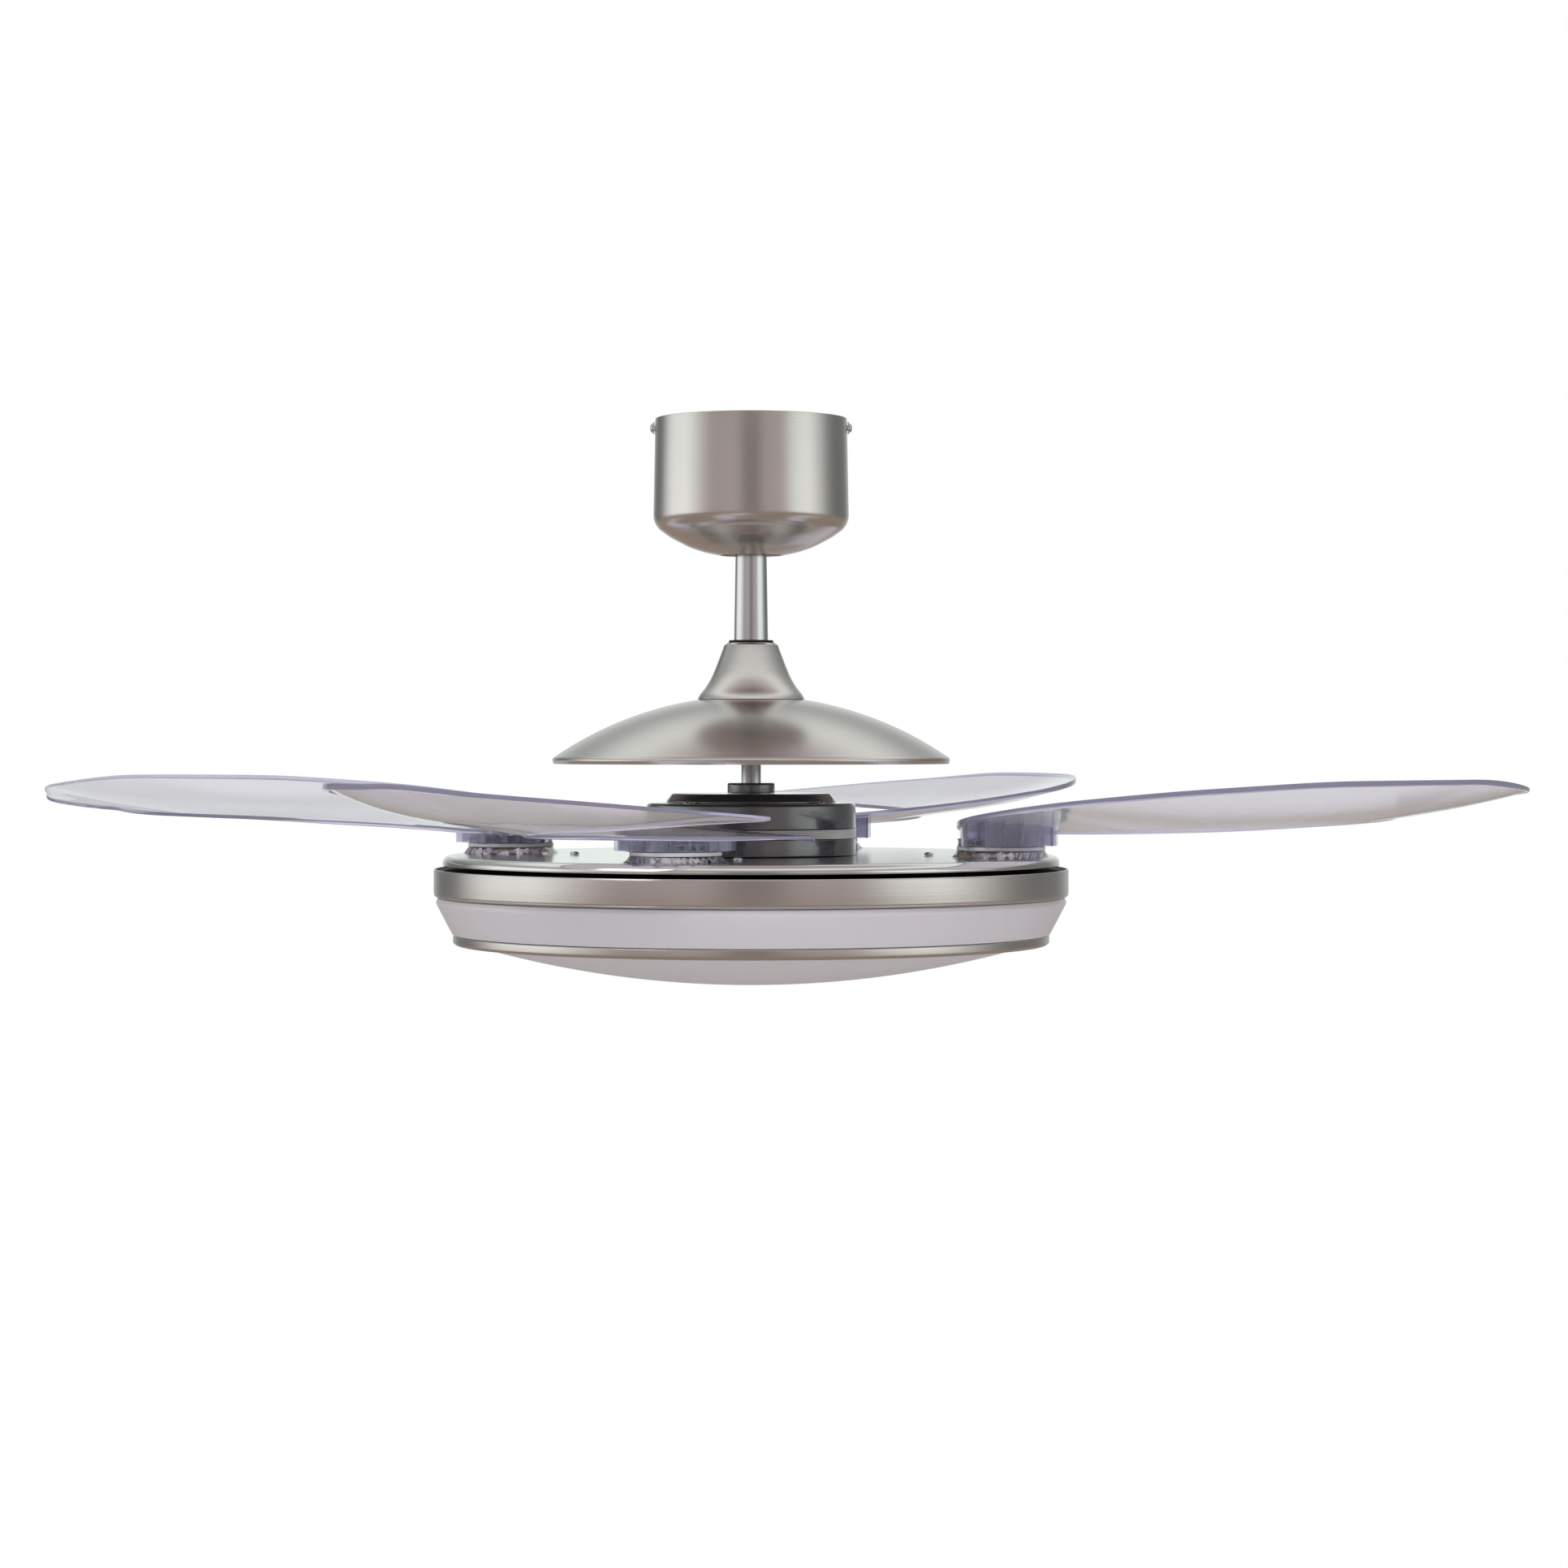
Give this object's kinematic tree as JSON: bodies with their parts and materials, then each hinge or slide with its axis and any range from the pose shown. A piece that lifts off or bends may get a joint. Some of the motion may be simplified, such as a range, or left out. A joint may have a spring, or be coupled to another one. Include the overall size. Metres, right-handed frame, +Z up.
{
  "type": "retractable blade ceiling fan",
  "caption": "Ceiling fan on a short downrod with a round frosted light; clear crescent blades fold in over the spinning tray and swing out as it turns.",
  "frame": {"origin": "centre of the hanger bracket's top face, where it meets the ceiling", "axes": "+Z up out of the ceiling face, +X along the bracket bar towards its right canopy screw"},
  "size_m": [1.18, 1.18, 0.4505],
  "materials": {
    "nickel": "brushed nickel plate",
    "steel": "bright steel",
    "zinc": "zinc plated steel",
    "black_plastic": "gloss black",
    "black_paint": "matt black paint",
    "rubber": "matt",
    "white_nylon": "translucent white nylon",
    "grey_nylon": "satin nylon",
    "brass": "turned",
    "copper_windings": "enamelled windings",
    "clear_plastic": "clear moulded plastic",
    "frosted_glass": "frosted white glass",
    "board_white": "satin white"
  },
  "bodies": {
    "ceiling_mount": {"hanger_bracket": "zinc", "canopy": "nickel", "ball_seat": "white_nylon", "canopy_washer_left": "steel", "canopy_screw_left": "steel", "canopy_washer_right": "steel", "canopy_screw_right": "steel"},
    "suspension": {"hanger_ball": "grey_nylon", "ball_pin": "steel", "downrod": "nickel", "rod_gasket": "rubber", "cone_cover": "nickel", "dome_cover": "nickel", "shaft_coupler": "zinc", "coupler_pin": "steel", "motor_shaft": "steel", "stator": "copper_windings", "light_pan": "black_paint", "light_nut": "steel", "light_board": "board_white", "outer_ring": "nickel", "glass_band": "frosted_glass", "lower_ring": "nickel", "glass_bowl": "frosted_glass"},
    "rotor": {"bearing_cap": "black_plastic", "motor_top_plate": "black_plastic", "upper_housing": "black_plastic", "rotor_core": "steel", "lower_housing": "black_plastic", "upper_bearing": "steel", "lower_bearing": "steel", "rotor_tray": "nickel", "pivot_bush_1": "white_nylon", "return_spring_1": "steel", "ring_guide_1": "steel", "pivot_bush_2": "white_nylon", "return_spring_2": "steel", "ring_guide_2": "steel", "pivot_bush_3": "white_nylon", "return_spring_3": "steel", "ring_guide_3": "steel", "pivot_bush_4": "white_nylon", "return_spring_4": "steel", "ring_guide_4": "steel"},
    "sync_gear": {"sync_ring": "grey_nylon"},
    "blade_arm_1": {"blade_1": "clear_plastic", "pivot_shaft_1": "brass", "blade_gear_1": "grey_nylon"},
    "blade_arm_2": {"blade_2": "clear_plastic", "pivot_shaft_2": "brass", "blade_gear_2": "grey_nylon"},
    "blade_arm_3": {"blade_3": "clear_plastic", "pivot_shaft_3": "brass", "blade_gear_3": "grey_nylon"},
    "blade_arm_4": {"blade_4": "clear_plastic", "pivot_shaft_4": "brass", "blade_gear_4": "grey_nylon"}
  },
  "joints": [
    {"name": "hanger_swing", "type": "hinge", "parent": "ceiling_mount", "child": "suspension", "pos_m": [0, 0, -0.06], "axis": [0, 1, 0], "range_deg": [-8, 8]},
    {"name": "fan_spin", "type": "hinge", "parent": "suspension", "child": "rotor", "pos_m": [0, 0, -0.345], "axis": [0, 0, 1], "continuous": true},
    {"name": "sync_gear_turn", "type": "hinge", "parent": "rotor", "child": "sync_gear", "pos_m": [0, 0, -0.354], "axis": [0, 0, 1], "range_deg": [-33, 0]},
    {"name": "blade_1_fold", "type": "hinge", "parent": "rotor", "child": "blade_arm_1", "pos_m": [0.19562, -0.05609, -0.335], "axis": [0, 0, 1], "range_deg": [0, 164]},
    {"name": "blade_2_fold", "type": "hinge", "parent": "rotor", "child": "blade_arm_2", "pos_m": [0.05609, 0.19562, -0.335], "axis": [0, 0, 1], "range_deg": [0, 164]},
    {"name": "blade_3_fold", "type": "hinge", "parent": "rotor", "child": "blade_arm_3", "pos_m": [-0.19562, 0.05609, -0.335], "axis": [0, 0, 1], "range_deg": [0, 164]},
    {"name": "blade_4_fold", "type": "hinge", "parent": "rotor", "child": "blade_arm_4", "pos_m": [-0.05609, -0.19562, -0.335], "axis": [0, 0, 1], "range_deg": [0, 164]}
  ],
  "couplings": [
    {"joint": "sync_gear_turn", "follows": "blade_1_fold", "ratio": -0.2},
    {"joint": "blade_2_fold", "follows": "blade_1_fold", "ratio": 1},
    {"joint": "blade_3_fold", "follows": "blade_1_fold", "ratio": 1},
    {"joint": "blade_4_fold", "follows": "blade_1_fold", "ratio": 1}
  ]
}
